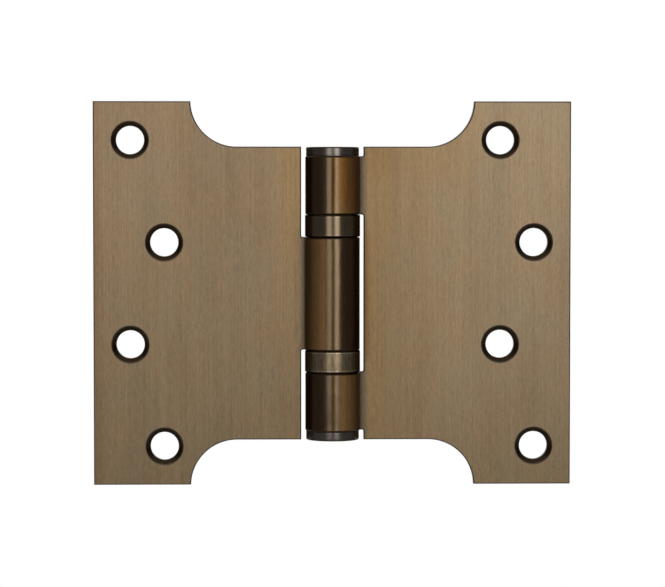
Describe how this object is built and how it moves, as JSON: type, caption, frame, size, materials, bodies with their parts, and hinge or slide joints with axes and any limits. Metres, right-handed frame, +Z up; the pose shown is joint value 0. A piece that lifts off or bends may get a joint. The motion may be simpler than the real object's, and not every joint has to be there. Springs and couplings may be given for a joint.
{
  "type": "parliament hinge",
  "caption": "Ball-bearing parliament hinge with wide waisted leaves, rolled knuckles and staggered countersunk screw holes, laid open flat.",
  "frame": {"origin": "on the pin's axis at mid height, which is also the middle of the open hinge", "axes": "+Z up along the pin, +X towards the frame leaf, -Y out of the countersunk faces"},
  "size_m": [0.127, 0.0146, 0.102],
  "materials": {
    "bronzed_leaf": "antique bronze plating, brushed along the pin",
    "dark_cap": "dark grey bronze, turned",
    "bearing_shell": "dark grey bronze, lightly scratched",
    "pin_steel": "ground steel",
    "bearing_steel": "hardened and polished steel",
    "cage_brass": "pressed brass"
  },
  "bodies": {
    "frame": {"frame_leaf": "bronzed_leaf", "hinge_pin": "pin_steel", "pin_cap_top": "dark_cap", "pin_cap_bottom": "dark_cap", "upper_bearing_cup": "bearing_shell", "lower_bearing_race": "bearing_steel"},
    "door": {"door_leaf": "bronzed_leaf", "upper_bearing_race": "bearing_steel", "lower_bearing_cup": "bearing_shell"},
    "upper_balls": {"upper_bearing_cage": "cage_brass", "upper_bearing_ball_1": "bearing_steel", "upper_bearing_ball_2": "bearing_steel", "upper_bearing_ball_3": "bearing_steel", "upper_bearing_ball_4": "bearing_steel", "upper_bearing_ball_5": "bearing_steel", "upper_bearing_ball_6": "bearing_steel", "upper_bearing_ball_7": "bearing_steel", "upper_bearing_ball_8": "bearing_steel"},
    "lower_balls": {"lower_bearing_cage": "cage_brass", "lower_bearing_ball_1": "bearing_steel", "lower_bearing_ball_2": "bearing_steel", "lower_bearing_ball_3": "bearing_steel", "lower_bearing_ball_4": "bearing_steel", "lower_bearing_ball_5": "bearing_steel", "lower_bearing_ball_6": "bearing_steel", "lower_bearing_ball_7": "bearing_steel", "lower_bearing_ball_8": "bearing_steel"}
  },
  "joints": [
    {"name": "door_swing", "type": "hinge", "parent": "frame", "child": "door", "pos_m": [0, 0, 0], "axis": [0, 0, 1], "range_deg": [-125, 180]},
    {"name": "upper_balls_roll", "type": "hinge", "parent": "frame", "child": "upper_balls", "pos_m": [0, 0, 0], "axis": [0, 0, 1], "range_deg": [-62.5, 90]},
    {"name": "lower_balls_roll", "type": "hinge", "parent": "frame", "child": "lower_balls", "pos_m": [0, 0, 0], "axis": [0, 0, 1], "range_deg": [-62.5, 90]}
  ],
  "couplings": [
    {"joint": "upper_balls_roll", "follows": "door_swing", "ratio": 0.5},
    {"joint": "lower_balls_roll", "follows": "door_swing", "ratio": 0.5}
  ]
}
